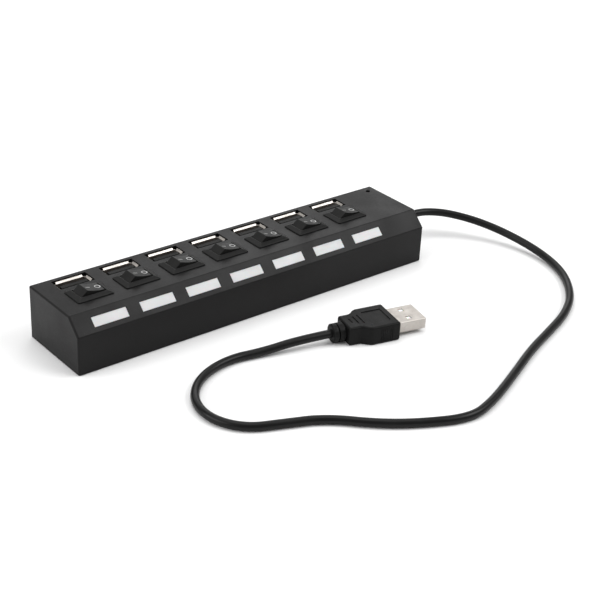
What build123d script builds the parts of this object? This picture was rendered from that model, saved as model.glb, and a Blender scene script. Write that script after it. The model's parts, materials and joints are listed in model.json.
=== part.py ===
from build123d import *
import math
import os

os.makedirs("parts", exist_ok=True)

# A bar-shaped USB hub: seven upright sockets along the back of its top face, a rocker
# switch in front of each, a row of label windows in the slanted front strip, and a
# captive lead that ends in a USB-A plug.
# Millimetres. X runs along the bar to the lead's end, +Y to the back, +Z up.
# The origin is on the surface that the hub stands on, under the middle of the housing.

# ---------------------------------------------------------------- driving dimensions

# Housing
case_depth = 34.5
case_height = 21.6          # top face above the table
case_wall = 2.0
slant_run = 6.2             # the slanted strip, seen from above
slant_drop = 6.0            # and its fall from the top face
case_edge_radius = 0.7
foot_stand_off = 0.3        # daylight under the housing

# The row of seven stations: socket, switch and label window
station_count = 7
station_pitch = 20.2
last_station_inset = 28.6   # from the last station to the right end
port_back_inset = 5.75      # from the back face to the middle of the sockets
switch_front_inset = 17.25  # from the front face to the middle of the switches

# Upright USB-A receptacle
port_shell_length = 13.1
port_shell_depth = 5.7
port_shell_sheet = 0.3
port_shell_corner = 0.5
port_mouth_recess = 0.45    # mouth below the top face
port_lip_rise = 0.6         # height of the flared lips round the mouth
port_lip_reach = 0.6        # how far they flare out
port_lip_end_gap = 0.95     # from a lip's ends to the shell's corners
port_lip_gap = 0.12         # between the lips and the window
tongue_length = 11.1
tongue_thickness = 1.84
tongue_front_gap = 0.9      # from the shell's front wall to the tongue
tongue_recess = 0.4         # tongue tip below the mouth
tongue_base_height = 4.6
tongue_base_gap = 0.05      # from the base to the shell, and round the contacts
contact_width = 1.0
contact_sheet = 0.25
contact_recess = 0.9        # contact tip below the tongue's tip
contact_offsets = (-3.5, -1.0, 1.0, 3.5)
shell_leg_width = 2.2
tail_below_board = 1.2      # how far soldered tails stand out under the board

# Rocker switch
flange_length = 15.0
flange_depth = 10.5
flange_lip = 0.35           # upright edge of the flange
flange_rise = 1.2           # rim above the top face
flange_corner = 0.7
rim_land = 0.25
rocker_mouth_length = 10.8
rocker_mouth_depth = 6.6
rim_height = 0.6            # straight part of the mouth, below the rim
switch_body_length = 13.6
switch_body_depth = 8.6
switch_body_drop = 11.6     # body below the top face
switch_end_wall = 0.35
switch_floor = 1.0
cavity_flare_drop = 2.1     # height over which the cavity widens under the mouth
switch_hole_clearance = 0.15
barb_reach = 0.6
barb_height = 2.2
rocker_side_gap = 0.25
rocker_tilt = 12.0          # either side of level, so 24 degrees from O to I
pivot_depth = 2.9           # pivot below the top face
pivot_radius = 0.9
pivot_clearance = 0.05
pivot_end_gap = 0.2
peak_half_span = 3.6        # the rocker's two ridges, from its middle
peak_height = 5.36          # and their height above the pivot
dish_depth = 0.3
shoulder_half_span = 5.8    # foot of the slanted end faces
shoulder_height = 2.6
skirt_half_span = 5.3
skirt_height = 1.2
hub_radius = 2.0
plunger_width = 2.6
plunger_depth = 3.0
plunger_drop = 4.2
rocker_edge_radius = 0.25
terminal_sheet = 0.8
terminal_width = 3.0
terminal_pitch = 4.7
terminal_top_gap = 1.2      # how far a terminal stands into the switch

# Label windows in the slanted strip
label_length = 14.5
label_height = 3.9
label_centre_up = 4.0       # from the strip's lower edge, along the slant
label_recess = 0.15
label_gap = 0.05
label_backing_margin = 0.65
label_backing = 1.0

# Circuit board and what is on it
board_height = 4.8          # underside above the table
board_thickness = 1.6
board_wall_gap = 0.6
board_boss_gap = 0.4
solder_hole_gap = 0.25
led_length = 3.5
led_depth = 2.8
led_height = 1.9
led_front_inset = 4.75      # from the front face to the middle of the lamps
chip_length = 9.9
chip_depth = 3.9
chip_height = 1.5
chip_leg_count = 8
chip_leg_pitch = 1.1
chip_leg_width = 0.4
chip_leg_reach = 1.0
chip_leg_height = 0.4
chip_stand_off = 0.2
chip_front_inset = 9.3
crystal_length = 11.0
crystal_depth = 4.4
crystal_height = 3.4
crystal_stand_off = 0.3
capacitor_radius = 2.5
capacitor_height = 7.0
capacitor_foot = 0.8
capacitor_sleeve_step = 0.25
capacitor_steps = ((-2.5, 0.0), (6.0, 6.2))  # from the right bosses and the lead's axis

# Power lamp under its small window in the top face
lamp_window_radius = 1.0
lamp_end_inset = 4.5
lamp_back_inset = 4.05
lamp_radius = 1.5
lamp_collar_radius = 1.9
lamp_collar_height = 1.0
lamp_body_height = 3.4
lamp_gap = 0.3
lamp_lead = 0.5
lamp_lead_pitch = 1.27

# Power socket in the right end
jack_length = 10.4
jack_width = 7.6
jack_height = 7.6
jack_collar_radius = 3.2
jack_collar_gap = 0.15
jack_bore_radius = 2.0
jack_bore_depth = 9.0
jack_pin_radius = 0.65
jack_pin_length = 8.0
jack_pin_tip_radius = 0.4
jack_front_inset = 8.25

# Fasteners and feet
boss_radius = 2.6
pilot_radius = 1.15
pilot_depth = 8.0
screw_shank_radius = 1.1
screw_length = 8.4
screw_head_radius = 2.1
screw_sink = 0.2
screw_slot_width = 0.6
screw_slot_length = 2.4
screw_slot_depth = 0.7
cover_hole_radius = 1.4
cover_sink_radius = 2.35
cover_sink_angle = 90
left_boss_inset = 4.5
boss_shell_gap = 1.55       # between the left bosses and the first socket
right_boss_inset = 15.5
front_boss_inset = 10.25
back_boss_inset = 6.25
cover_thickness = 2.0
cover_gap = 0.15
post_radius = 1.5
post_side_offset = 6.5      # either side of the switches' middle
foot_radius = 4.0
foot_thickness = 1.0
foot_gap = 0.1
foot_end_inset = 27.5
foot_side_inset = 7.25

# Lead
cable_diameter = 3.3
gland_front_inset = 19.25   # from the front face to the lead
gland_height = 11.0         # lead's axis above the table
gland_length = 9.0          # outside the end wall
gland_neck_radius = 3.0
gland_neck_gap = 0.05
gland_flange_radius = 4.2
gland_flange_thickness = 1.6
gland_collar_radius = 3.8
gland_collar_length = 1.4
gland_root_radius = 3.1
gland_tip_radius = 2.2
gland_groove_count = 3
gland_groove_width = 0.7
gland_groove_depth = 0.45
wire_count = 4
wire_radius = 0.45
wire_spacing = 1.4
wire_reach = 5.5
wire_bend = 1.8

# Plug
plug_shell_length = 12.0    # the part that shows
plug_shell_width = 12.0
plug_shell_height = 4.5
plug_shell_sheet = 0.35
plug_shell_corner = 0.5
plug_shell_root = 6.0       # the part held in the moulding
detent_side = 2.0
detent_from_tip = 6.1
detent_spacing = 6.0
plug_insulator_height = 1.9
plug_insulator_setback = 0.6
plug_side_gap = 0.05
plug_contact_sheet = 0.2
plug_contact_length = 7.5
grip_width = 16.2
grip_height = 7.6
grip_length = 11.3          # full-width part
grip_waist_length = 5.3     # S-curve down to the neck
grip_neck_width = 11.0
grip_neck_length = 3.8
grip_edge_radius = 0.9
boot_root_radius = 3.0
boot_ring_radius = 3.7
boot_groove_radius = 2.5
boot_tip_radius = 2.9
boot_step = 0.7             # land before the first ring
boot_ring = 2.0
boot_groove = 0.6
boot_last_ring = 1.5
boot_taper = 0.4
grip_panel_length = 8.4     # sunk panel in the grip's upper and lower faces
grip_panel_width = 9.2
grip_panel_front = 2.6      # from the grip's front face
grip_panel_depth = 0.3
grip_panel_corner = 0.6
grip_bar_lengths = (6.8, 5.6, 3.4)
grip_bar_front = 13.3       # from the grip's front face to the first bar
grip_bar_pitch = 2.1
grip_bar_width = 0.7
grip_bar_depth = 0.35
grip_rib_count = 7          # fine upright grooves in the grip's sides
grip_rib_front = 3.6
grip_rib_pitch = 0.8
grip_rib_width = 0.3
grip_rib_depth = 0.2

run_share = 0.45            # of a run, taken up by the bend at each of its ends

# The lead's route from the tip of its gland to the back of the plug's boot: how far
# beyond the gland, how far to the back of it, and the height above the table.
route_offsets = [
    (0.0, 0.0, 11.0),
    (6.0, 0.0, 11.0),
    (12.2, -1.8, 10.6),
    (19.0, -6.7, 9.9),
    (27.4, -16.5, 7.8),
    (34.1, -29.4, 4.7),
    (36.1, -46.6, 2.4),
    (31.1, -63.8, 1.65),
    (18.4, -79.3, 1.65),
    (4.2, -88.4, 1.65),
    (-11.2, -94.2, 1.65),
    (-27.1, -99.9, 1.65),
    (-47.3, -109.4, 1.65),
    (-65.9, -117.4, 1.65),
    (-79.0, -120.3, 1.65),
    (-95.5, -112.9, 1.65),
    (-107.7, -104.8, 1.65),
    (-120.6, -91.9, 1.65),
    (-134.1, -86.3, 1.65),
    (-146.6, -81.2, 1.65),
    (-153.3, -69.5, 1.65),
    (-150.8, -56.0, 1.65),
    (-140.3, -45.7, 1.65),
    (-125.0, -41.4, 1.65),
    (-111.2, -44.7, 1.9),
    (-97.6, -47.9, 3.8),
    (-84.4, -50.9, 3.8),
]

# ---------------------------------------------------------------- derived places

# The housing is as long as the row of stations and what stands at its two ends.
first_station_inset = left_boss_inset + boss_radius + boss_shell_gap + port_shell_length / 2
case_length = first_station_inset + (station_count - 1) * station_pitch + last_station_inset
half_length = case_length / 2
half_depth = case_depth / 2
case_bottom = foot_stand_off
front_height = case_height - slant_drop
slant_top_y = -half_depth + slant_run
slant_angle = math.atan2(slant_drop, slant_run)
slant_up = (0, math.cos(slant_angle), math.sin(slant_angle))
slant_out = (0, -math.sin(slant_angle), math.cos(slant_angle))
ceiling = case_height - case_wall
cover_top = case_bottom + cover_thickness
board_top = board_height + board_thickness
tail_bottom = board_height - tail_below_board

station_xs = [
    -half_length + first_station_inset + station_pitch * index for index in range(station_count)
]
port_y = half_depth - port_back_inset
switch_y = -half_depth + switch_front_inset
led_y = -half_depth + led_front_inset
chip_y = -half_depth + chip_front_inset

port_mouth = case_height - port_mouth_recess
port_lip_root = port_mouth - port_lip_rise
port_window_margin = port_lip_reach + port_lip_gap
shell_inner_length = port_shell_length - 2 * port_shell_sheet
shell_inner_depth = port_shell_depth - 2 * port_shell_sheet
tongue_front = -shell_inner_depth / 2 + tongue_front_gap
tongue_back = tongue_front + tongue_thickness
tongue_tip = port_mouth - tongue_recess
contact_tip = tongue_tip - contact_recess

pivot_height = case_height - pivot_depth
rim_top = case_height + flange_rise
switch_body_bottom = case_height - switch_body_drop
cavity_half_length = switch_body_length / 2 - switch_end_wall
rocker_width = rocker_mouth_depth - 2 * rocker_side_gap
pivot_length = switch_body_depth - 2 * pivot_end_gap
terminal_top = switch_body_bottom + switch_floor + terminal_top_gap

left_boss_x = -half_length + left_boss_inset
right_boss_x = half_length - right_boss_inset
front_boss_y = -half_depth + front_boss_inset
back_boss_y = half_depth - back_boss_inset
screw_points = [
    (x, y) for x in (left_boss_x, right_boss_x) for y in (front_boss_y, back_boss_y)
]
foot_points = [
    (side * (half_length - foot_end_inset), end * (half_depth - foot_side_inset))
    for side in (-1, 1)
    for end in (-1, 1)
]
post_xs = [station_xs[0] + station_pitch / 2, (station_xs[2] + station_xs[3]) / 2,
           station_xs[-1] - station_pitch / 2]
post_points = [
    (x, switch_y + side * post_side_offset) for x in post_xs for side in (-1, 1)
]

board_left = left_boss_x + boss_radius + board_boss_gap
board_right = half_length - case_wall - board_wall_gap
board_half_depth = half_depth - case_wall - board_wall_gap

lamp_x = half_length - lamp_end_inset
lamp_y = half_depth - lamp_back_inset
gland_y = -half_depth + gland_front_inset
gland_tip_x = half_length + gland_length
gland_inner_x = half_length - case_wall - gland_flange_thickness
jack_y = -half_depth + jack_front_inset
jack_axis_height = board_top + jack_height / 2
capacitor_points = [(right_boss_x + along, gland_y + aside) for along, aside in capacitor_steps]

route = [(gland_tip_x + ahead, gland_y + aside, height) for ahead, aside, height in route_offsets]


def slant_plane(x, depth):
    """A plane on the slanted strip at the label's middle, that far below its surface."""
    up = label_centre_up
    origin = (
        x,
        -half_depth + up * slant_up[1] - depth * slant_out[1],
        front_height + up * slant_up[2] - depth * slant_out[2],
    )
    return Plane(origin=origin, x_dir=(1, 0, 0), z_dir=slant_out)


def keep(builder, name):
    """Name a finished piece and write it."""
    builder.part.label = name
    export_step(builder.part, f"parts/{name}.step")


def housing_section(wall):
    """The housing's outline in Y and Z, drawn that far inside its outer faces."""
    rise = slant_drop / slant_run
    slope_shift = wall / math.cos(slant_angle)
    front = -half_depth + wall
    back = half_depth - wall
    top = case_height - wall
    shoulder = front_height + wall * rise - slope_shift
    top_front = -half_depth + (slant_drop - wall + slope_shift) / rise
    Polyline(
        (front, case_bottom),
        (back, case_bottom),
        (back, top),
        (top_front, top),
        (front, shoulder),
        close=True,
    )


# ---------------------------------------------------------------- housing

with BuildPart() as upper_housing:
    with BuildSketch(Plane.YZ.offset(-half_length)):
        with BuildLine():
            housing_section(0)
        make_face()
    extrude(amount=case_length)
    fillet(
        upper_housing.edges().filter_by(lambda edge: edge.center().Z > cover_top),
        radius=case_edge_radius,
    )
    with BuildSketch(Plane.YZ.offset(-half_length + case_wall)):
        with BuildLine():
            housing_section(case_wall)
        make_face()
    extrude(amount=case_length - 2 * case_wall, mode=Mode.SUBTRACT)
    # Screw bosses hang from the ceiling down to the cover.
    with BuildSketch(Plane.XY.offset(cover_top)):
        with Locations(*screw_points):
            Circle(boss_radius)
    extrude(amount=ceiling - cover_top)
    with BuildSketch(Plane.XY.offset(cover_top)):
        with Locations(*screw_points):
            Circle(pilot_radius)
    extrude(amount=pilot_depth, mode=Mode.SUBTRACT)
    # Socket windows, switch holes and the lamp's window in the top face.
    with BuildSketch(Plane.XY.offset(ceiling)):
        with Locations(*[(x, port_y) for x in station_xs]):
            Rectangle(
                port_shell_length + 2 * port_window_margin,
                port_shell_depth + 2 * port_window_margin,
            )
        with Locations(*[(x, switch_y) for x in station_xs]):
            Rectangle(
                switch_body_length + 2 * switch_hole_clearance,
                switch_body_depth + 2 * switch_hole_clearance,
            )
        with Locations((lamp_x, lamp_y)):
            Circle(lamp_window_radius)
    extrude(amount=case_wall, mode=Mode.SUBTRACT)
    # Label openings through the slanted strip.
    for x in station_xs:
        with BuildSketch(slant_plane(x, case_wall)):
            Rectangle(label_length, label_height)
        extrude(amount=case_wall, mode=Mode.SUBTRACT)
    # The lead's hole and the power socket's hole in the right end.
    with BuildSketch(Plane.YZ.offset(half_length - case_wall)):
        with Locations((gland_y, gland_height)):
            Circle(gland_neck_radius + gland_neck_gap)
        with Locations((jack_y, jack_axis_height)):
            Circle(jack_collar_radius + jack_collar_gap)
    extrude(amount=case_wall, mode=Mode.SUBTRACT)
keep(upper_housing, "upper_housing")

with BuildPart() as bottom_cover:
    with BuildSketch(Plane.XY.offset(case_bottom)):
        Rectangle(
            case_length - 2 * case_wall - 2 * cover_gap, case_depth - 2 * case_wall - 2 * cover_gap
        )
    extrude(amount=cover_thickness)
    with BuildSketch(Plane.XY.offset(cover_top)):
        with Locations(*post_points):
            Circle(post_radius)
    extrude(amount=board_height - cover_top)
    with Locations(*[Plane(origin=(x, y, case_bottom), z_dir=(0, 0, -1)) for x, y in screw_points]):
        CounterSinkHole(
            radius=cover_hole_radius,
            counter_sink_radius=cover_sink_radius,
            depth=cover_thickness,
            counter_sink_angle=cover_sink_angle,
        )
    with BuildSketch(Plane.XY.offset(case_bottom)):
        with Locations(*foot_points):
            Circle(foot_radius + foot_gap)
    extrude(amount=foot_thickness - case_bottom, mode=Mode.SUBTRACT)
keep(bottom_cover, "bottom_cover")

with BuildPart() as case_screws:
    for x, y in screw_points:
        with BuildSketch(Plane(origin=(x, y, case_bottom + screw_sink), z_dir=(0, 1, 0), x_dir=(1, 0, 0))):
            # Local y points down in this plane, so the shank is drawn towards minus y.
            with BuildLine():
                Polyline(
                    (0, 0),
                    (screw_head_radius, 0),
                    (screw_shank_radius, screw_shank_radius - screw_head_radius),
                    (screw_shank_radius, -screw_length + screw_shank_radius),
                    (0, -screw_length),
                    close=True,
                )
            make_face()
        revolve(axis=Axis((x, y, 0), (0, 0, 1)))
    with BuildSketch(Plane.XY.offset(case_bottom + screw_sink)):
        with Locations(*screw_points):
            Rectangle(screw_slot_length, screw_slot_width)
            Rectangle(screw_slot_width, screw_slot_length)
    extrude(amount=screw_slot_depth, mode=Mode.SUBTRACT)
keep(case_screws, "case_screws")

with BuildPart() as rubber_feet:
    with BuildSketch():
        with Locations(*foot_points):
            Circle(foot_radius)
    extrude(amount=foot_thickness)
keep(rubber_feet, "rubber_feet")

# ---------------------------------------------------------------- circuit board

with BuildPart() as circuit_board:
    with BuildSketch(Plane.XY.offset(board_height)):
        with Locations(((board_left + board_right) / 2, 0)):
            Rectangle(board_right - board_left, 2 * board_half_depth)
        with Locations(*[point for point in screw_points if point[0] > 0]):
            Circle(boss_radius + board_boss_gap, mode=Mode.SUBTRACT)
        for x in station_xs:
            with Locations((x, switch_y), (x + terminal_pitch, switch_y)):
                Rectangle(
                    terminal_sheet + 2 * solder_hole_gap,
                    terminal_width + 2 * solder_hole_gap,
                    mode=Mode.SUBTRACT,
                )
            leg_x = port_shell_length / 2 - port_shell_sheet / 2
            with Locations((x - leg_x, port_y), (x + leg_x, port_y)):
                Rectangle(
                    port_shell_sheet + 2 * solder_hole_gap,
                    shell_leg_width + 2 * solder_hole_gap,
                    mode=Mode.SUBTRACT,
                )
            tail_y = port_y + tongue_back + contact_sheet / 2
            with Locations(*[(x + offset, tail_y) for offset in contact_offsets]):
                Rectangle(
                    contact_width + 2 * solder_hole_gap,
                    contact_sheet + 2 * solder_hole_gap,
                    mode=Mode.SUBTRACT,
                )
    extrude(amount=board_thickness)
keep(circuit_board, "circuit_board")

with BuildPart() as status_leds:
    for x in station_xs:
        with BuildSketch(Plane(origin=(x, led_y, board_top))):
            Rectangle(led_length, led_depth)
        extrude(amount=led_height)
keep(status_leds, "status_leds")

controller_xs = [(station_xs[1] + station_xs[2]) / 2, (station_xs[4] + station_xs[5]) / 2]

with BuildPart() as controller_chips:
    for x in controller_xs:
        with BuildSketch(Plane(origin=(x, chip_y, board_top + chip_stand_off))):
            Rectangle(chip_length, chip_depth)
        extrude(amount=chip_height)
        with BuildSketch(Plane(origin=(x, chip_y, board_top))):
            with GridLocations(chip_leg_pitch, 0, chip_leg_count, 1):
                Rectangle(chip_leg_width, chip_depth + 2 * chip_leg_reach)
        extrude(amount=chip_leg_height)
keep(controller_chips, "controller_chips")

with BuildPart() as crystal:
    crystal_x = (controller_xs[0] + controller_xs[1]) / 2
    with BuildSketch(Plane(origin=(crystal_x, chip_y, board_top + crystal_stand_off))):
        SlotOverall(crystal_length, crystal_depth)
    extrude(amount=crystal_height)
    with BuildSketch(Plane(origin=(crystal_x, chip_y, board_top))):
        SlotOverall(crystal_length + 2 * crystal_stand_off, crystal_depth + 2 * crystal_stand_off)
    extrude(amount=crystal_stand_off)
keep(crystal, "crystal")

with BuildPart() as capacitors:
    with BuildSketch(Plane.XY.offset(board_top)):
        with Locations(*capacitor_points):
            Circle(capacitor_radius)
    extrude(amount=capacitor_height)
    with BuildSketch(Plane.XY.offset(board_top + capacitor_foot)):
        with Locations(*capacitor_points):
            Circle(capacitor_radius)
            Circle(capacitor_radius - capacitor_sleeve_step, mode=Mode.SUBTRACT)
    extrude(amount=capacitor_sleeve_step, mode=Mode.SUBTRACT)
keep(capacitors, "capacitors")

with BuildPart() as power_lamp:
    lamp_top = ceiling - lamp_gap
    lamp_bottom = lamp_top - lamp_radius - lamp_body_height
    with BuildSketch(Plane(origin=(lamp_x, lamp_y, lamp_bottom))):
        Circle(lamp_collar_radius)
    extrude(amount=lamp_collar_height)
    with BuildSketch(Plane(origin=(lamp_x, lamp_y, lamp_bottom))):
        Circle(lamp_radius)
    extrude(amount=lamp_body_height)
    with Locations((lamp_x, lamp_y, lamp_bottom + lamp_body_height)):
        Sphere(lamp_radius)
    with BuildSketch(Plane(origin=(lamp_x, lamp_y, board_top))):
        with GridLocations(2 * lamp_lead_pitch, 0, 2, 1):
            Rectangle(lamp_lead, lamp_lead)
    extrude(amount=lamp_bottom - board_top)
keep(power_lamp, "power_lamp")

# ---------------------------------------------------------------- sockets


def lip_section(side, half_span):
    """A flared lip's outline: how far it is from the shell's middle, and its height."""
    Polyline(
        (side * (half_span - port_shell_sheet), port_lip_root),
        (side * half_span, port_lip_root),
        (side * (half_span + port_lip_reach), port_mouth),
        (side * (half_span + port_lip_reach - port_shell_sheet), port_mouth),
        close=True,
    )


for number, x in enumerate(station_xs, start=1):
    with BuildPart() as port_shell:
        with BuildSketch(Plane(origin=(x, port_y, board_top))):
            RectangleRounded(port_shell_length, port_shell_depth, port_shell_corner)
            RectangleRounded(
                shell_inner_length,
                shell_inner_depth,
                port_shell_corner - port_shell_sheet / 2,
                mode=Mode.SUBTRACT,
            )
        extrude(amount=port_lip_root - board_top)
        # Flared lips round the mouth, which stop short of the corners.
        lip_length = port_shell_length - 2 * port_lip_end_gap
        lip_depth = port_shell_depth - 2 * port_lip_end_gap
        for side in (-1, 1):
            with BuildSketch(
                Plane(origin=(x - lip_length / 2, port_y, 0), x_dir=(0, 1, 0), z_dir=(1, 0, 0))
            ):
                with BuildLine():
                    lip_section(side, port_shell_depth / 2)
                make_face()
            extrude(amount=lip_length)
            with BuildSketch(
                Plane(origin=(x, port_y + lip_depth / 2, 0), x_dir=(1, 0, 0), z_dir=(0, -1, 0))
            ):
                with BuildLine():
                    lip_section(side, port_shell_length / 2)
                make_face()
            extrude(amount=lip_depth)
        with BuildSketch(Plane(origin=(x, port_y, tail_bottom))):
            with GridLocations(port_shell_length - port_shell_sheet, 0, 2, 1):
                Rectangle(port_shell_sheet, shell_leg_width)
        extrude(amount=board_top - tail_bottom)
    keep(port_shell, f"port_shell_{number}")

    with BuildPart() as port_tongue:
        with BuildSketch(Plane(origin=(x, port_y, board_top))):
            Rectangle(
                shell_inner_length - 2 * tongue_base_gap, shell_inner_depth - 2 * tongue_base_gap
            )
        extrude(amount=tongue_base_height)
        fillet(port_tongue.edges().filter_by(Axis.Z), radius=port_shell_corner)
        with BuildSketch(Plane(origin=(x, port_y, board_top))):
            with Locations((0, (tongue_front + tongue_back) / 2)):
                Rectangle(tongue_length, tongue_thickness)
        extrude(amount=tongue_tip - board_top)
        # Slots in the base for the four contacts.
        with BuildSketch(Plane(origin=(x, port_y, board_top))):
            with Locations(*[(offset, tongue_back + contact_sheet / 2) for offset in contact_offsets]):
                Rectangle(contact_width + 2 * tongue_base_gap, contact_sheet)
        extrude(amount=tongue_base_height, mode=Mode.SUBTRACT)
    keep(port_tongue, f"port_tongue_{number}")

with BuildPart() as port_contacts:
    for x in station_xs:
        with BuildSketch(Plane(origin=(x, port_y, tail_bottom))):
            with Locations(*[(offset, tongue_back + contact_sheet / 2) for offset in contact_offsets]):
                Rectangle(contact_width, contact_sheet)
        extrude(amount=contact_tip - tail_bottom)
keep(port_contacts, "port_contacts")

# ---------------------------------------------------------------- switches

for number, x in enumerate(station_xs, start=1):
    with BuildPart() as switch_frame:
        with BuildSketch(Plane(origin=(x, switch_y, case_height))):
            RectangleRounded(flange_length, flange_depth, flange_corner)
        extrude(amount=flange_lip)
        with BuildSketch(Plane(origin=(x, switch_y, case_height + flange_lip))):
            RectangleRounded(flange_length, flange_depth, flange_corner)
        with BuildSketch(Plane(origin=(x, switch_y, rim_top))):
            RectangleRounded(
                rocker_mouth_length + 2 * rim_land, rocker_mouth_depth + 2 * rim_land, rim_land
            )
        loft()
        with BuildSketch(Plane(origin=(x, switch_y, switch_body_bottom))):
            Rectangle(switch_body_length, switch_body_depth)
        extrude(amount=switch_body_drop)
        # Sprung barbs that hold the body under the top wall.
        for side in (-1, 1):
            with BuildSketch(Plane(origin=(x, switch_y, 0), x_dir=(side, 0, 0), z_dir=(0, -side, 0))):
                end = switch_body_length / 2
                barb_top = ceiling - switch_hole_clearance
                with BuildLine():
                    Polyline(
                        (end - switch_end_wall, barb_top),
                        (end + barb_reach, barb_top),
                        (end, barb_top - barb_height),
                        (end - switch_end_wall, barb_top - barb_height),
                        close=True,
                    )
                make_face()
            extrude(amount=rocker_mouth_depth / 2, both=True)
        # The hollow: straight at the mouth, then wider where the rocker's skirt swings.
        with BuildSketch(Plane(origin=(x, switch_y, 0), x_dir=(1, 0, 0), z_dir=(0, -1, 0))):
            mouth = rocker_mouth_length / 2
            throat = rim_top - rim_height
            floor = switch_body_bottom + switch_floor
            with BuildLine():
                Polyline(
                    (-mouth, rim_top),
                    (mouth, rim_top),
                    (mouth, throat),
                    (cavity_half_length, throat - cavity_flare_drop),
                    (cavity_half_length, floor),
                    (-cavity_half_length, floor),
                    (-cavity_half_length, throat - cavity_flare_drop),
                    (-mouth, throat),
                    close=True,
                )
            make_face()
        extrude(amount=rocker_mouth_depth / 2, both=True, mode=Mode.SUBTRACT)
        with BuildSketch(Plane(origin=(x, switch_y, pivot_height), x_dir=(1, 0, 0), z_dir=(0, -1, 0))):
            Circle(pivot_radius + pivot_clearance)
        extrude(amount=switch_body_depth / 2, both=True, mode=Mode.SUBTRACT)
        with BuildSketch(Plane(origin=(x, switch_y, switch_body_bottom))):
            with Locations((0, 0), (terminal_pitch, 0)):
                Rectangle(terminal_sheet, terminal_width)
        extrude(amount=switch_floor, mode=Mode.SUBTRACT)
    keep(switch_frame, f"switch_frame_{number}")

    # At rest the O end is down: the whole rocker leans about its pivot by its tilt.
    lean = math.radians(rocker_tilt)
    rocker_plane = Plane(
        origin=(x, switch_y, pivot_height),
        x_dir=(math.cos(lean), 0, -math.sin(lean)),
        z_dir=(0, -1, 0),
    )
    with BuildPart() as rocker:
        with BuildSketch(rocker_plane):
            with BuildLine():
                ThreePointArc(
                    (-peak_half_span, peak_height),
                    (0, peak_height - dish_depth),
                    (peak_half_span, peak_height),
                )
                Polyline(
                    (peak_half_span, peak_height),
                    (shoulder_half_span, shoulder_height),
                    (skirt_half_span, skirt_height),
                    (-skirt_half_span, skirt_height),
                    (-shoulder_half_span, shoulder_height),
                    (-peak_half_span, peak_height),
                )
            make_face()
        extrude(amount=rocker_width / 2, both=True)
        fillet(rocker.edges().group_by(Axis.Z)[-1], radius=rocker_edge_radius)
        with BuildSketch(rocker_plane):
            Circle(hub_radius)
            with Locations((0, -plunger_drop / 2)):
                Rectangle(plunger_width, plunger_drop)
        extrude(amount=plunger_depth / 2, both=True)
        with BuildSketch(rocker_plane):
            with Locations((0, skirt_height / 2)):
                Rectangle(plunger_width, skirt_height)
        extrude(amount=rocker_width / 2, both=True)
        with BuildSketch(rocker_plane):
            Circle(pivot_radius)
        extrude(amount=pivot_length / 2, both=True)
    keep(rocker, f"rocker_{number}")

with BuildPart() as switch_terminals:
    for x in station_xs:
        with BuildSketch(Plane(origin=(x, switch_y, tail_bottom))):
            with Locations((0, 0), (terminal_pitch, 0)):
                Rectangle(terminal_sheet, terminal_width)
        extrude(amount=terminal_top - tail_bottom)
keep(switch_terminals, "switch_terminals")

# ---------------------------------------------------------------- label windows

for number, x in enumerate(station_xs, start=1):
    with BuildPart() as label_window:
        with BuildSketch(slant_plane(x, case_wall)):
            Rectangle(label_length - 2 * label_gap, label_height - 2 * label_gap)
        extrude(amount=case_wall - label_recess)
        with BuildSketch(slant_plane(x, case_wall + label_backing)):
            Rectangle(
                label_length + 2 * label_backing_margin, label_height + 2 * label_backing_margin
            )
        extrude(amount=label_backing)
    keep(label_window, f"label_window_{number}")

# ---------------------------------------------------------------- power socket

with BuildPart() as power_jack:
    jack_face = half_length - case_wall
    with BuildSketch(Plane(origin=(jack_face - jack_length / 2, jack_y, board_top))):
        Rectangle(jack_length, jack_width)
    extrude(amount=jack_height)
    with BuildSketch(Plane.YZ.offset(jack_face)):
        with Locations((jack_y, jack_axis_height)):
            Circle(jack_collar_radius)
    extrude(amount=case_wall)
    with BuildSketch(Plane.YZ.offset(half_length)):
        with Locations((jack_y, jack_axis_height)):
            Circle(jack_bore_radius)
    extrude(amount=-jack_bore_depth, mode=Mode.SUBTRACT)
keep(power_jack, "power_jack")

with BuildPart() as jack_pin:
    with BuildSketch(Plane.YZ.offset(half_length - jack_bore_depth)):
        with Locations((jack_y, jack_axis_height)):
            Circle(jack_pin_radius)
    extrude(amount=jack_pin_length)
    fillet(jack_pin.edges().sort_by(Axis.X)[-1], radius=jack_pin_tip_radius)
keep(jack_pin, "jack_pin")

# ---------------------------------------------------------------- lead

with BuildPart() as cable_gland:
    with BuildSketch(Plane.XZ.offset(-gland_y)):
        wall_inside = half_length - case_wall
        with BuildLine():
            Polyline(
                (gland_inner_x, gland_height),
                (gland_inner_x, gland_height + gland_flange_radius),
                (wall_inside, gland_height + gland_flange_radius),
                (wall_inside, gland_height + gland_neck_radius),
                (half_length, gland_height + gland_neck_radius),
                (half_length, gland_height + gland_collar_radius),
                (half_length + gland_collar_length, gland_height + gland_collar_radius),
                (half_length + gland_collar_length, gland_height + gland_root_radius),
                (gland_tip_x, gland_height + gland_tip_radius),
                (gland_tip_x, gland_height),
                close=True,
            )
        make_face()
    revolve(axis=Axis((0, gland_y, gland_height), (1, 0, 0)))
    # Grooves that let the taper bend with the lead.
    groove_pitch = (gland_length - gland_collar_length) / (gland_groove_count + 1)
    for index in range(gland_groove_count):
        groove_x = half_length + gland_collar_length + groove_pitch * (index + 1)
        share = (index + 1) / (gland_groove_count + 1)
        here = gland_root_radius + (gland_tip_radius - gland_root_radius) * share
        with BuildSketch(Plane.YZ.offset(groove_x - gland_groove_width / 2)):
            with Locations((gland_y, gland_height)):
                Circle(gland_flange_radius)
                Circle(here - gland_groove_depth, mode=Mode.SUBTRACT)
        extrude(amount=gland_groove_width, mode=Mode.SUBTRACT)
keep(cable_gland, "cable_gland")

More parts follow.
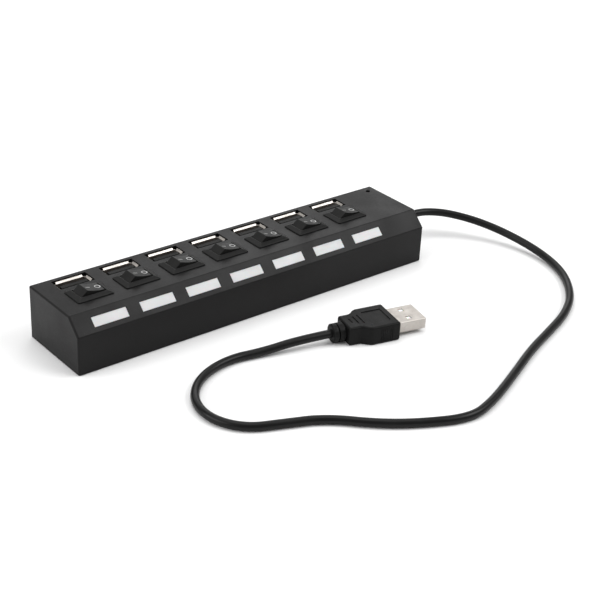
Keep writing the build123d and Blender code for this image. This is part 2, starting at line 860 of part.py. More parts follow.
with BuildPart() as lead_wires:
    for index in range(wire_count):
        wire_y = gland_y + (index - (wire_count - 1) / 2) * wire_spacing
        with BuildLine() as wire_line:
            FilletPolyline(
                (gland_inner_x, wire_y, gland_height),
                (gland_inner_x - wire_reach, wire_y, gland_height),
                (gland_inner_x - wire_reach, wire_y, board_top),
                radius=wire_bend,
            )
        with BuildSketch(Plane(origin=(gland_inner_x, wire_y, gland_height), z_dir=(-1, 0, 0))):
            Circle(wire_radius)
        sweep(path=wire_line.line)
keep(lead_wires, "lead_wires")


def corner_radii(points):
    """The largest radius that each corner's two runs leave room for."""
    radii = []
    for before, corner, after in zip(points, points[1:], points[2:]):
        arriving = Vector(corner) - Vector(before)
        leaving = Vector(after) - Vector(corner)
        turn = math.radians(arriving.get_angle(leaving))
        radii.append(run_share * min(arriving.length, leaving.length) / math.tan(turn / 2))
    return radii


route_radii = corner_radii(route)
print("lead radii", [round(radius, 1) for radius in route_radii])
with BuildPart() as cable:
    with BuildLine() as cable_line:
        FilletPolyline(*route, radius=route_radii)
    with BuildSketch(Plane(origin=route[0], z_dir=Vector(route[1]) - Vector(route[0]))):
        Circle(cable_diameter / 2)
    sweep(path=cable_line.line)
keep(cable, "cable")
cable_length = cable_line.wires()[0].length
print("lead length", round(cable_length, 1))
print("lead volume against section times length",
      round(cable.part.volume / (math.pi * cable_diameter**2 / 4 * cable_length), 4))

# ---------------------------------------------------------------- plug

# The plug points along the route's last run, with its boot's end on the last point.
boot_length = boot_step + boot_ring + boot_groove + boot_last_ring + boot_taper
grip_total = grip_length + grip_waist_length + grip_neck_length
plug_aim = (Vector(route[-1]) - Vector(route[-2])).normalized()
plug_front = Vector(route[-1]) + plug_aim * (boot_length + grip_total)
plug_side = Vector(0, 0, 1).cross(plug_aim)


def plug_plane(ahead, height=0.0):
    """A level plane, x along the plug, its origin that far ahead of the grip's front."""
    origin = plug_front + plug_aim * ahead + Vector(0, 0, height)
    return Plane(origin=origin, x_dir=plug_aim, z_dir=(0, 0, 1))


def plug_face(ahead):
    """A plane across the plug, x to its left side and y up."""
    origin = plug_front + plug_aim * ahead
    return Plane(origin=origin, x_dir=plug_side, z_dir=plug_aim)


with BuildPart() as plug_overmold:
    wide = grip_width / 2
    narrow = grip_neck_width / 2
    waist_end = -grip_length - grip_waist_length
    with BuildSketch(plug_plane(0, -grip_height / 2)):
        with BuildLine():
            Line((0, -wide), (0, wide))
            Line((0, wide), (-grip_length, wide))
            Spline(
                (-grip_length, wide),
                (waist_end, narrow),
                tangents=((-1, 0), (-1, 0)),
            )
            Line((waist_end, narrow), (-grip_total, narrow))
            Line((-grip_total, narrow), (-grip_total, -narrow))
            Line((-grip_total, -narrow), (waist_end, -narrow))
            Spline(
                (waist_end, -narrow),
                (-grip_length, -wide),
                tangents=((1, 0), (1, 0)),
            )
            Line((-grip_length, -wide), (0, -wide))
        make_face()
    extrude(amount=grip_height)
    fillet(
        plug_overmold.edges().filter_by(Axis.Z)
        + plug_overmold.edges().group_by(Axis.Z)[-1]
        + plug_overmold.edges().group_by(Axis.Z)[0],
        radius=grip_edge_radius,
    )
    # Sunk panels and cross bars in the upper and lower faces.
    for face in (-1, 1):
        panel_middle = -grip_panel_front - grip_panel_length / 2
        with BuildSketch(plug_plane(panel_middle, face * grip_height / 2)):
            RectangleRounded(grip_panel_length, grip_panel_width, grip_panel_corner)
        extrude(amount=-face * grip_panel_depth, mode=Mode.SUBTRACT)
        with BuildSketch(plug_plane(-grip_bar_front, face * grip_height / 2)):
            for index, bar_length in enumerate(grip_bar_lengths):
                with Locations((-index * grip_bar_pitch, 0)):
                    Rectangle(grip_bar_width, bar_length)
        extrude(amount=-face * grip_bar_depth, mode=Mode.SUBTRACT)
    # Fine upright grooves in the sides, near the shell.
    with BuildSketch(plug_plane(0, grip_edge_radius - grip_height / 2)):
        rib_middle = -grip_rib_front - grip_rib_pitch * (grip_rib_count - 1) / 2
        with Locations((rib_middle, 0)):
            with GridLocations(grip_rib_pitch, grip_width, grip_rib_count, 2):
                Rectangle(grip_rib_width, 2 * grip_rib_depth)
    extrude(amount=grip_height - 2 * grip_edge_radius, mode=Mode.SUBTRACT)
    # The ribbed boot behind the grip.
    with BuildSketch(Plane(origin=plug_front, x_dir=plug_aim, z_dir=plug_side)):
        grip_back = -grip_total
        ring_front = grip_back - boot_step
        ring_back = ring_front - boot_ring
        last_front = ring_back - boot_groove
        last_back = last_front - boot_last_ring
        boot_end = last_back - boot_taper
        with BuildLine():
            Polyline(
                (grip_back + grip_edge_radius, 0),
                (grip_back + grip_edge_radius, -boot_root_radius),
                (ring_front, -boot_root_radius),
                (ring_front, -boot_ring_radius),
                (ring_back, -boot_ring_radius),
                (ring_back, -boot_groove_radius),
                (last_front, -boot_groove_radius),
                (last_front, -boot_ring_radius),
                (last_back, -boot_ring_radius),
                (boot_end, -boot_tip_radius),
                (boot_end, 0),
                close=True,
            )
        make_face()
    revolve(axis=Axis(plug_front, plug_aim))
    # The socket in the grip that holds the shell and what is in it.
    with BuildSketch(plug_face(-plug_shell_root)):
        RectangleRounded(plug_shell_width, plug_shell_height, plug_shell_corner)
    extrude(amount=plug_shell_root, mode=Mode.SUBTRACT)
keep(plug_overmold, "plug_overmold")

with BuildPart() as plug_shell:
    with BuildSketch(plug_face(-plug_shell_root)):
        RectangleRounded(plug_shell_width, plug_shell_height, plug_shell_corner)
        RectangleRounded(
            plug_shell_width - 2 * plug_shell_sheet,
            plug_shell_height - 2 * plug_shell_sheet,
            plug_shell_corner - plug_shell_sheet / 2,
            mode=Mode.SUBTRACT,
        )
    extrude(amount=plug_shell_root + plug_shell_length)
    with BuildSketch(plug_plane(plug_shell_length - detent_from_tip, -plug_shell_height)):
        with GridLocations(0, detent_spacing, 1, 2):
            Rectangle(detent_side, detent_side)
    extrude(amount=2 * plug_shell_height, mode=Mode.SUBTRACT)
keep(plug_shell, "plug_shell")

insulator_width = plug_shell_width - 2 * plug_shell_sheet - 2 * plug_side_gap
insulator_top = plug_shell_height / 2 - plug_shell_sheet - plug_side_gap
insulator_length = plug_shell_root + plug_shell_length - plug_insulator_setback
contact_row = insulator_top - plug_insulator_height

with BuildPart() as plug_insulator:
    with BuildSketch(plug_face(-plug_shell_root)):
        with Locations((0, insulator_top - plug_insulator_height / 2)):
            RectangleRounded(insulator_width, plug_insulator_height, plug_shell_corner)
    extrude(amount=insulator_length)
keep(plug_insulator, "plug_insulator")

with BuildPart() as plug_contacts:
    contact_middle = plug_shell_length - 2 * plug_insulator_setback - plug_contact_length / 2
    with BuildSketch(plug_plane(contact_middle, contact_row)):
        with Locations(*[(0, offset) for offset in contact_offsets]):
            Rectangle(plug_contact_length, contact_width)
    extrude(amount=-plug_contact_sheet)
keep(plug_contacts, "plug_contacts")
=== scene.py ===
"""Bar-shaped USB hub with seven sockets, a rocker switch for each, and a captive lead.

Everything is in metres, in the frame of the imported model: the origin is on the table under the
middle of the housing, +X runs along the bar to the end that the lead leaves, +Y to the back
and +Z up.
"""
import json
import logging
import math
from collections.abc import Iterable, Mapping
from dataclasses import dataclass, field
from enum import Enum
from functools import cache

import bmesh
import bpy
from mathutils import Matrix, Vector
from mathutils.bvhtree import BVHTree


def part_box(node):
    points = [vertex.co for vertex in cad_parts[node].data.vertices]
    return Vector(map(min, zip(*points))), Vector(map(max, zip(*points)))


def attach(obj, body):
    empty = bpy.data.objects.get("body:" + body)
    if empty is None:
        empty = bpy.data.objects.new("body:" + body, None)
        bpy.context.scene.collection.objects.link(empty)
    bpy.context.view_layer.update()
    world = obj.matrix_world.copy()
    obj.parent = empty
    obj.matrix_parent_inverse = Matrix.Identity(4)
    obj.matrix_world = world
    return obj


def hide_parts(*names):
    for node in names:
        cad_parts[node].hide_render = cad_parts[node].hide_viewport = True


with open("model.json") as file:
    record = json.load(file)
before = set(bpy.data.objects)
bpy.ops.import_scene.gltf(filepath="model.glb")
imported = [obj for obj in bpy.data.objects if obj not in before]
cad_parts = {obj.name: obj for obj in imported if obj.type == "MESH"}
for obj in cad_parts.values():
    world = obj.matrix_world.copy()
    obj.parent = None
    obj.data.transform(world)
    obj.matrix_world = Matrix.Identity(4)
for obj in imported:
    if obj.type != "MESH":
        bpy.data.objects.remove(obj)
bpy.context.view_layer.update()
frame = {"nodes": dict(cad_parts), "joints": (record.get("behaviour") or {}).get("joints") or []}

log = logging.getLogger("usb_hub")

Colour = tuple[float, float, float]
Socket = bpy.types.NodeSocket
Corner = bmesh.types.BMVert

CASE = "case"
STATIONS = range(1, 8)
MM = 0.001


# ------------------------------------------------------------------ node wiring


def rgba(colour: Colour) -> tuple[float, float, float, float]:
    """A colour with full alpha, as a node's colour socket takes it."""
    return (*colour, 1.0)


class Wiring:
    """Adds nodes to one node tree and joins them."""

    def __init__(self, tree: bpy.types.NodeTree) -> None:
        """Starts on a tree.

        Args:
            tree: the tree that the nodes go into.
        """
        self.tree = tree

    def add(
        self,
        kind: str,
        feeds: Mapping[str | int, object] | None = None,
        **settings: object,
    ) -> bpy.types.Node:
        """Adds a node.

        Args:
            kind: the node's type name.
            feeds: what each input takes, a plain value or another node's output.
            settings: the node's own properties, set before its inputs are fed.

        Returns:
            The new node.
        """
        node = self.tree.nodes.new(kind)
        for name, value in settings.items():
            setattr(node, name, value)
        for key, value in (feeds or {}).items():
            self.feed(node.inputs[key], value)
        return node

    def feed(self, socket: Socket, value: object) -> None:
        """Links an output to a socket, or sets the socket's plain value.

        Args:
            socket: the input to feed.
            value: an output socket, or a value of the input's own type.
        """
        if isinstance(value, bpy.types.NodeSocket):
            self.tree.links.new(value, socket)
        else:
            socket.default_value = value

    def math(self, operation: str, *terms: object, clamp: bool = False) -> Socket:
        """A Math node's result.

        Args:
            operation: the node's operation, such as MULTIPLY.
            terms: its inputs, in order.
            clamp: whether the result is kept between 0 and 1.

        Returns:
            The node's output.
        """
        feeds = dict(enumerate(terms))
        return self.add("ShaderNodeMath", feeds, operation=operation, use_clamp=clamp).outputs[0]

    def blend(self, share: object, first: object, second: object) -> Socket:
        """A mix of two colours.

        Args:
            share: how much of the second colour shows, from 0 to 1.
            first: the colour at share 0.
            second: the colour at share 1.

        Returns:
            The mixed colour.
        """
        node = self.add("ShaderNodeMix", data_type="RGBA")
        feeds = {"Factor_Float": share, "A_Color": first, "B_Color": second}
        for socket in node.inputs:
            if socket.identifier in feeds:
                self.feed(socket, feeds[socket.identifier])
        return next(out for out in node.outputs if out.identifier == "Result_Color")

    def spread(
        self,
        value: object,
        low: object,
        high: object,
        start: float = 0.0,
        end: float = 1.0,
    ) -> Socket:
        """A value moved from one range to another and kept inside it.

        Args:
            value: what is mapped.
            low: the result at start.
            high: the result at end.
            start: the value that gives low.
            end: the value that gives high.

        Returns:
            The mapped value.
        """
        feeds = {"Value": value, "From Min": start, "From Max": end, "To Min": low, "To Max": high}
        return self.add("ShaderNodeMapRange", feeds).outputs["Result"]

    def noise(
        self,
        place: Socket,
        pitch: object,
        detail: float = 2.0,
        roughness: float = 0.5,
    ) -> Socket:
        """Soft noise of a given pitch.

        Args:
            place: the coordinates that it is laid on, in metres.
            pitch: the size of one lump, in metres.
            detail: how many finer layers it has.
            roughness: how strong those layers are.

        Returns:
            The noise's value, about 0.5 on average.
        """
        scale = self.math("DIVIDE", 1.0, pitch)
        feeds = {"Vector": place, "Scale": scale, "Detail": detail, "Roughness": roughness}
        return self.add("ShaderNodeTexNoise", feeds).outputs["Fac"]

    def place(self) -> Socket:
        """The surface's own coordinates, in metres, which move with the piece."""
        return self.add("ShaderNodeTexCoord").outputs["Object"]


FLOAT, COLOUR, VECTOR = "NodeSocketFloat", "NodeSocketColor", "NodeSocketVector"


class EffectGroup:
    """A shader node group in the making: named inputs, a wiring, and named outputs."""

    def __init__(self, name: str, inputs: Mapping[str, tuple[str, object]]) -> None:
        """Makes the group's tree and its inputs.

        Args:
            name: the group's name.
            inputs: each input's socket type and starting value.
        """
        self.tree = bpy.data.node_groups.new(name, "ShaderNodeTree")
        for label, (kind, value) in inputs.items():
            socket = self.tree.interface.new_socket(name=label, in_out="INPUT", socket_type=kind)
            socket.default_value = value
        self.wiring = Wiring(self.tree)
        self.given = self.tree.nodes.new("NodeGroupInput").outputs

    def give(self, outputs: Mapping[str, tuple[str, Socket]]) -> bpy.types.NodeTree:
        """Ends the group.

        Args:
            outputs: each output's socket type and what feeds it.

        Returns:
            The finished tree.
        """
        for label, (kind, _) in outputs.items():
            self.tree.interface.new_socket(name=label, in_out="OUTPUT", socket_type=kind)
        end = self.tree.nodes.new("NodeGroupOutput")
        for label, (_, source) in outputs.items():
            self.wiring.feed(end.inputs[label], source)
        return self.tree


# ------------------------------------------------------------------ shared effects


CELL_SHARE = 0.8  # pits to a grain, along a line
PIT_CURVE = 0.7  # below 1 the pits have broad floors


@cache
def moulded_grain() -> bpy.types.NodeTree:
    """The fine sparked grain of a moulding tool, as a height from 0 to 1."""
    group = EffectGroup("moulded_grain", {"Pitch": (FLOAT, 0.0003), "Softness": (FLOAT, 0.5)})
    wiring, given = group.wiring, group.given
    place = wiring.place()
    lumps = wiring.noise(place, given["Pitch"], detail=3.0, roughness=0.6)
    scale = wiring.math("DIVIDE", CELL_SHARE, given["Pitch"])
    cells = wiring.add("ShaderNodeTexVoronoi", {"Vector": place, "Scale": scale}, feature="SMOOTH_F1")
    pits = wiring.math("POWER", cells.outputs["Distance"], PIT_CURVE)
    hard = wiring.math("MULTIPLY", pits, wiring.math("SUBTRACT", 1.0, given["Softness"]))
    soft = wiring.math("MULTIPLY", lumps, given["Softness"])
    return group.give({"Height": (FLOAT, wiring.math("ADD", hard, soft))})


BROAD_SHARE = 0.7  # of the sheen's drift, in its broad patches
FINE_PATCH = 0.06  # size of a fine patch, against a broad one
SHEEN_SPAN = (0.35, 0.65)  # noise values that give the smooth and the rough end


@cache
def handled_sheen() -> bpy.types.NodeTree:
    """Roughness that drifts over a skin that hands have rubbed, between two ends."""
    inputs = {"Patch": (FLOAT, 0.012), "Smooth": (FLOAT, 0.4), "Rough": (FLOAT, 0.6)}
    group = EffectGroup("handled_sheen", inputs)
    wiring, given = group.wiring, group.given
    place = wiring.place()
    broad = wiring.noise(place, given["Patch"], detail=4.0, roughness=0.55)
    fine = wiring.noise(place, wiring.math("MULTIPLY", given["Patch"], FINE_PATCH))
    broad_part = wiring.math("MULTIPLY", broad, BROAD_SHARE)
    fine_part = wiring.math("MULTIPLY", fine, 1.0 - BROAD_SHARE)
    both = wiring.math("ADD", broad_part, fine_part)
    value = wiring.spread(both, given["Smooth"], given["Rough"], *SHEEN_SPAN)
    return group.give({"Roughness": (FLOAT, value)})


BLACK = (0.0, 0.0, 0.0, 1.0)
DRIFT_SPAN = (0.3, 0.7)  # noise values that give the one colour and the other


@cache
def colour_drift() -> bpy.types.NodeTree:
    """Two close colours in slow, soft patches, as a batch of resin has them."""
    inputs = {"Colour": (COLOUR, BLACK), "Other": (COLOUR, BLACK), "Patch": (FLOAT, 0.03)}
    group = EffectGroup("colour_drift", inputs)
    wiring, given = group.wiring, group.given
    cloud = wiring.noise(wiring.place(), given["Patch"], detail=5.0, roughness=0.6)
    share = wiring.spread(cloud, 0.0, 1.0, *DRIFT_SPAN)
    return group.give({"Colour": (COLOUR, wiring.blend(share, given["Colour"], given["Other"]))})


EDGE_SPAN = (0.75, 0.995)  # cosine to the rounded normal on a full edge and on none
BREAK_SPAN = (0.42, 0.62)  # noise values between which the wear sets in


@cache
def edge_wear() -> bpy.types.NodeTree:
    """A mask on outer edges that rubbing has polished, broken up along their length."""
    inputs = {"Reach": (FLOAT, 0.0003), "Amount": (FLOAT, 0.5), "Patch": (FLOAT, 0.004)}
    group = EffectGroup("edge_wear", inputs)
    wiring, given = group.wiring, group.given
    rounded = wiring.add("ShaderNodeBevel", {"Radius": given["Reach"]}, samples=4)
    facing = wiring.add("ShaderNodeNewGeometry").outputs["Normal"]
    feeds = {0: rounded.outputs["Normal"], 1: facing}
    dot = wiring.add("ShaderNodeVectorMath", feeds, operation="DOT_PRODUCT").outputs["Value"]
    edge = wiring.spread(dot, 1.0, 0.0, *EDGE_SPAN)
    cloud = wiring.noise(wiring.place(), given["Patch"], detail=5.0, roughness=0.65)
    broken = wiring.spread(cloud, 0.0, 1.0, *BREAK_SPAN)
    worn = wiring.math("MULTIPLY", edge, broken)
    mask = wiring.math("MULTIPLY", worn, given["Amount"], clamp=True)
    return group.give({"Mask": (FLOAT, mask)})


SPECK_SPAN = (0.03, 0.10)  # a speck's core and its edge, in shares of the pitch
PICK_SPAN = (0.52, 0.60)  # noise values between which specks lie
PICK_PITCH = 0.0021  # size of a dusty place, in metres
LEVEL_SPAN = (0.3, 0.9)  # upward part of the normal where dust starts and is full


@cache
def settled_dust() -> bpy.types.NodeTree:
    """A mask of fine specks on faces that look up."""
    group = EffectGroup("settled_dust", {"Amount": (FLOAT, 0.3), "Pitch": (FLOAT, 0.0011)})
    wiring, given = group.wiring, group.given
    place = wiring.place()
    scale = wiring.math("DIVIDE", 1.0, given["Pitch"])
    cells = wiring.add("ShaderNodeTexVoronoi", {"Vector": place, "Scale": scale})
    speck = wiring.spread(cells.outputs["Distance"], 1.0, 0.0, *SPECK_SPAN)
    picked = wiring.spread(wiring.noise(place, PICK_PITCH, detail=1.0), 0.0, 1.0, *PICK_SPAN)
    facing = wiring.add("ShaderNodeNewGeometry").outputs["Normal"]
    upward = wiring.add("ShaderNodeSeparateXYZ", {0: facing}).outputs["Z"]
    level = wiring.spread(upward, 0.0, 1.0, *LEVEL_SPAN)
    specks = wiring.math("MULTIPLY", wiring.math("MULTIPLY", speck, picked), level)
    mask = wiring.math("MULTIPLY", specks, given["Amount"], clamp=True)
    return group.give({"Mask": (FLOAT, mask)})


@cache
def drawn_streaks() -> bpy.types.NodeTree:
    """Fine lines along the way that a sheet was drawn or rolled, as a height from 0 to 1."""
    group = EffectGroup("drawn_streaks", {"Stretch": (VECTOR, (400.0, 4000.0, 4000.0))})
    wiring, given = group.wiring, group.given
    feeds = {0: wiring.place(), 1: given["Stretch"]}
    drawn = wiring.add("ShaderNodeVectorMath", feeds, operation="MULTIPLY").outputs["Vector"]
    feeds = {"Vector": drawn, "Scale": 1.0, "Detail": 4.0, "Roughness": 0.7}
    lines = wiring.add("ShaderNodeTexNoise", feeds)
    return group.give({"Height": (FLOAT, lines.outputs["Fac"])})


# ------------------------------------------------------------------ finishes


DUST_COLOUR = (0.45, 0.44, 0.42)
POLISH = -0.15  # change of roughness on a worn edge
DUST_DULLING = 0.3  # and on a speck of dust
SCATTER_DEPTH = 0.0008  # how far light goes into a milky plastic, in metres
STREAK_SHEEN = 0.25  # how much the drawn lines change a metal's roughness


def new_material(
    name: str,
    feeds: Mapping[str, object],
) -> tuple[bpy.types.Material, Wiring, bpy.types.Node]:
    """A material with one shader and nothing else.

    Args:
        name: the material's name.
        feeds: plain values for the shader's own sockets.

    Returns:
        The material, its wiring and its shader.
    """
    material = bpy.data.materials.new(name)
    material.use_nodes = True
    material.node_tree.nodes.clear()
    wiring = Wiring(material.node_tree)
    shader = wiring.add("ShaderNodeBsdfPrincipled", feeds)
    wiring.add("ShaderNodeOutputMaterial", {"Surface": shader.outputs["BSDF"]})
    return material, wiring, shader


@dataclass(frozen=True)
class MouldedSkin:
    """A moulded plastic or rubber: grain, sheen that drifts, rubbed edges and a little dust.

    Attributes:
        name: the material's name.
        colour: its main colour.
        other: a close colour that it drifts to.
        smooth: roughness where it is rubbed.
        rough: roughness where it isn't.
        specular: the shader's specular level; 0.5 is ordinary plastic.
        grain_pitch: size of a grain, in metres.
        grain_height: height of a grain, in metres.
        grain_softness: 0 for sharp pits, 1 for soft lumps.
        wear: how much its outer edges are polished.
        wear_colour: the colour of those edges.
        dust: how much dust lies on its level faces.
        patch: size of the slow patches, in metres.
        inner_light: share of light scattered inside it.
    """

    name: str
    colour: Colour
    other: Colour
    smooth: float
    rough: float
    specular: float = 0.5
    grain_pitch: float = 0.0003
    grain_height: float = 0.00001
    grain_softness: float = 0.5
    wear: float = 0.3
    wear_colour: Colour = (0.08, 0.08, 0.08)
    dust: float = 0.2
    patch: float = 0.014
    inner_light: float = 0.0

    def material(self) -> bpy.types.Material:
        """Builds the material."""
        plain = {"Specular IOR Level": self.specular}
        if self.inner_light:
            plain |= {"Subsurface Weight": self.inner_light, "Subsurface Scale": SCATTER_DEPTH}
        material, wiring, shader = new_material(self.name, plain)
        drift = wiring.add(
            "ShaderNodeGroup",
            {"Colour": rgba(self.colour), "Other": rgba(self.other), "Patch": self.patch * 2},
            node_tree=colour_drift(),
        )
        wear = wiring.add("ShaderNodeGroup", {"Amount": self.wear}, node_tree=edge_wear())
        dust = wiring.add("ShaderNodeGroup", {"Amount": self.dust}, node_tree=settled_dust())
        sheen = wiring.add(
            "ShaderNodeGroup",
            {"Patch": self.patch, "Smooth": self.smooth, "Rough": self.rough},
            node_tree=handled_sheen(),
        )
        grain = wiring.add(
            "ShaderNodeGroup",
            {"Pitch": self.grain_pitch, "Softness": self.grain_softness},
            node_tree=moulded_grain(),
        )
        worn = wiring.blend(wear.outputs["Mask"], drift.outputs["Colour"], rgba(self.wear_colour))
        dusty = wiring.blend(dust.outputs["Mask"], worn, rgba(DUST_COLOUR))
        wiring.feed(shader.inputs["Base Color"], dusty)
        polished = wiring.math("MULTIPLY", wear.outputs["Mask"], POLISH)
        dulled = wiring.math("MULTIPLY", dust.outputs["Mask"], DUST_DULLING)
        change = wiring.math("ADD", polished, dulled)
        roughness = wiring.math("ADD", sheen.outputs["Roughness"], change, clamp=True)
        wiring.feed(shader.inputs["Roughness"], roughness)
        bump = wiring.add(
            "ShaderNodeBump",
            {"Height": grain.outputs["Height"], "Strength": 1.0, "Distance": self.grain_height},
        )
        wiring.feed(shader.inputs["Normal"], bump.outputs["Normal"])
        return material


@dataclass(frozen=True)
class PlatedMetal:
    """A plated sheet or pin: drawn lines, cloudy sheen and a duller tone in patches.

    Attributes:
        name: the material's name.
        colour: the plate's colour.
        other: its duller tone.
        smooth: roughness where it is bright.
        rough: roughness where it is dull.
        stretch: lines per metre along X, Y and Z; the smallest runs along the lines.
        line_height: height of the drawn lines, in metres.
        patch: size of the dull patches, in metres.
    """

    name: str
    colour: Colour
    other: Colour
    smooth: float
    rough: float
    stretch: tuple[float, float, float] = (300.0, 6000.0, 6000.0)
    line_height: float = 0.000004
    patch: float = 0.004

    def material(self) -> bpy.types.Material:
        """Builds the material."""
        material, wiring, shader = new_material(self.name, {"Metallic": 1.0})
        drift = wiring.add(
            "ShaderNodeGroup",
            {"Colour": rgba(self.colour), "Other": rgba(self.other), "Patch": self.patch},
            node_tree=colour_drift(),
        )
        sheen = wiring.add(
            "ShaderNodeGroup",
            {"Patch": self.patch, "Smooth": self.smooth, "Rough": self.rough},
            node_tree=handled_sheen(),
        )
        lines = wiring.add("ShaderNodeGroup", {"Stretch": self.stretch}, node_tree=drawn_streaks())
        offset = wiring.math("SUBTRACT", lines.outputs["Height"], 0.5)
        streaked = wiring.math("MULTIPLY", offset, STREAK_SHEEN)
        wiring.feed(shader.inputs["Base Color"], drift.outputs["Colour"])
        roughness = wiring.math("ADD", sheen.outputs["Roughness"], streaked, clamp=True)
        wiring.feed(shader.inputs["Roughness"], roughness)
        bump = wiring.add(
            "ShaderNodeBump",
            {"Height": lines.outputs["Height"], "Strength": 1.0, "Distance": self.line_height},
        )
        wiring.feed(shader.inputs["Normal"], bump.outputs["Normal"])
        return material


@dataclass(frozen=True)
class ClearResin:
    """A lamp's cast resin: clear, with cloudy sheen and faint flow marks.

    Attributes:
        name: the material's name.
        colour: the resin's tint.
        smooth: roughness of its clear skin.
        rough: roughness where it is rubbed.
        patch: size of the cloudy patches, in metres.
        clear: share of light that goes through.
        paler: how much brighter the paler patches are.
    """

    name: str
    colour: Colour
    smooth: float = 0.05
    rough: float = 0.2
    patch: float = 0.002
    clear: float = 0.7
    paler: float = 1.1

    def material(self) -> bpy.types.Material:
        """Builds the material."""
        plain = {"Transmission Weight": self.clear, "IOR": 1.5}
        material, wiring, shader = new_material(self.name, plain)
        paler = tuple(min(1.0, part * self.paler) for part in self.colour)
        drift = wiring.add(
            "ShaderNodeGroup",
            {"Colour": rgba(self.colour), "Other": rgba(paler), "Patch": self.patch},
            node_tree=colour_drift(),
        )
        sheen = wiring.add(
            "ShaderNodeGroup",
            {"Patch": self.patch, "Smooth": self.smooth, "Rough": self.rough},
            node_tree=handled_sheen(),
        )
        wiring.feed(shader.inputs["Base Color"], drift.outputs["Colour"])
        wiring.feed(shader.inputs["Roughness"], sheen.outputs["Roughness"])
        return material


HOUSING_PLASTIC = MouldedSkin(
    "housing_plastic", (0.0060, 0.0058, 0.0059), (0.0080, 0.0077, 0.0078), 0.38, 0.50,
    specular=0.16, grain_pitch=0.00032, grain_height=0.000018, wear=0.35, dust=0.12,
)
COVER_PLASTIC = MouldedSkin(
    "cover_plastic", (0.010, 0.010, 0.011), (0.014, 0.014, 0.014), 0.50, 0.65,
    specular=0.3, grain_pitch=0.0005, grain_height=0.00002, wear=0.3, dust=0.0,
)
SWITCH_PLASTIC = MouldedSkin(
    "switch_plastic", (0.0065, 0.0065, 0.0062), (0.0085, 0.0085, 0.0082), 0.36, 0.48,
    specular=0.17, grain_pitch=0.00022, grain_height=0.000006, wear=0.4, dust=0.15,
)
ROCKER_PLASTIC = MouldedSkin(
    "rocker_plastic", (0.0075, 0.0075, 0.0072), (0.010, 0.010, 0.0095), 0.36, 0.48,
    specular=0.2, grain_pitch=0.00022, grain_height=0.000006, wear=0.45, dust=0.1, patch=0.006,
)
LABEL_SHEET = MouldedSkin(
    "label_sheet", (0.65, 0.65, 0.66), (0.59, 0.60, 0.60), 0.42, 0.58,
    specular=0.4, grain_pitch=0.00018, grain_height=0.000006, grain_softness=0.8,
    wear=0.15, wear_colour=(0.70, 0.70, 0.70), dust=0.05, patch=0.005, inner_light=0.2,
)
TONGUE_PLASTIC = MouldedSkin(
    "tongue_plastic", (0.008, 0.008, 0.008), (0.012, 0.012, 0.0115), 0.4, 0.55,
    specular=0.08, wear=0.2, dust=0.1,
)
JACK_PLASTIC = MouldedSkin(
    "jack_plastic", (0.010, 0.010, 0.010), (0.014, 0.014, 0.014), 0.35, 0.5,
    specular=0.35, dust=0.0,
)
FOOT_RUBBER = MouldedSkin(
    "foot_rubber", (0.016, 0.016, 0.016), (0.025, 0.025, 0.024), 0.7, 0.85,
    specular=0.3, grain_pitch=0.0004, grain_height=0.00003, wear=0.2, dust=0.0,
)
LEAD_JACKET = MouldedSkin(
    "lead_jacket", (0.0055, 0.0055, 0.0055), (0.008, 0.008, 0.0078), 0.28, 0.40,
    specular=0.18, grain_pitch=0.00045, grain_height=0.000012, grain_softness=0.9, wear=0.0, dust=0.12,
    patch=0.009,
)
GLAND_RUBBER = MouldedSkin(
    "gland_rubber", (0.008, 0.008, 0.008), (0.011, 0.011, 0.0105), 0.42, 0.55,
    specular=0.22, grain_pitch=0.0003, grain_height=0.00001, wear=0.25, dust=0.1, patch=0.006,
)
PLUG_MOULDING = MouldedSkin(
    "plug_moulding", (0.0052, 0.0052, 0.0052), (0.0072, 0.0072, 0.0070), 0.40, 0.54,
    specular=0.115, grain_pitch=0.0003, grain_height=0.000014, wear=0.35, dust=0.15, patch=0.007,
)
INSULATOR_PLASTIC = MouldedSkin(
    "insulator_plastic", (0.92, 0.91, 0.88), (0.88, 0.87, 0.84), 0.4, 0.55,
    wear=0.1, wear_colour=(0.9, 0.9, 0.88), dust=0.0, inner_light=0.3,
)
BOARD_MASK = MouldedSkin(
    "board_mask", (0.012, 0.10, 0.045), (0.015, 0.12, 0.05), 0.2, 0.35,
    grain_height=0.000004, dust=0.1,
)
CHIP_RESIN = MouldedSkin("chip_resin", (0.014, 0.014, 0.015), (0.02, 0.02, 0.02), 0.5, 0.62, dust=0.0)
SLEEVE_FILM = MouldedSkin("sleeve_film", (0.02, 0.025, 0.05), (0.025, 0.03, 0.06), 0.2, 0.3, dust=0.0)
WIRE_SLEEVE = MouldedSkin("wire_sleeve", (0.35, 0.05, 0.04), (0.3, 0.05, 0.04), 0.35, 0.5, dust=0.0)
MARK_INK = MouldedSkin(
    "mark_ink", (0.55, 0.55, 0.545), (0.42, 0.42, 0.42), 0.45, 0.6,
    grain_pitch=0.00012, grain_height=0.000008, wear=0.5, wear_colour=(0.10, 0.10, 0.10),
    dust=0.0, patch=0.0015,
)
PORT_STEEL = PlatedMetal(
    "port_steel", (0.50, 0.47, 0.44), (0.43, 0.40, 0.37), 0.36, 0.48, stretch=(500.0, 6000.0, 9000.0),
)
PLUG_STEEL = PlatedMetal(
    "plug_steel", (0.53, 0.50, 0.465), (0.46, 0.43, 0.40), 0.36, 0.52, stretch=(700.0, 5200.0, 5200.0),
    patch=0.003,
)
CONTACT_GOLD = PlatedMetal("contact_gold", (0.86, 0.66, 0.32), (0.72, 0.55, 0.27), 0.2, 0.35)
SPRING_BRONZE = PlatedMetal("spring_bronze", (0.26, 0.20, 0.12), (0.18, 0.14, 0.09), 0.35, 0.5)
CAN_STEEL = PlatedMetal("can_steel", (0.62, 0.62, 0.60), (0.52, 0.52, 0.50), 0.25, 0.4)
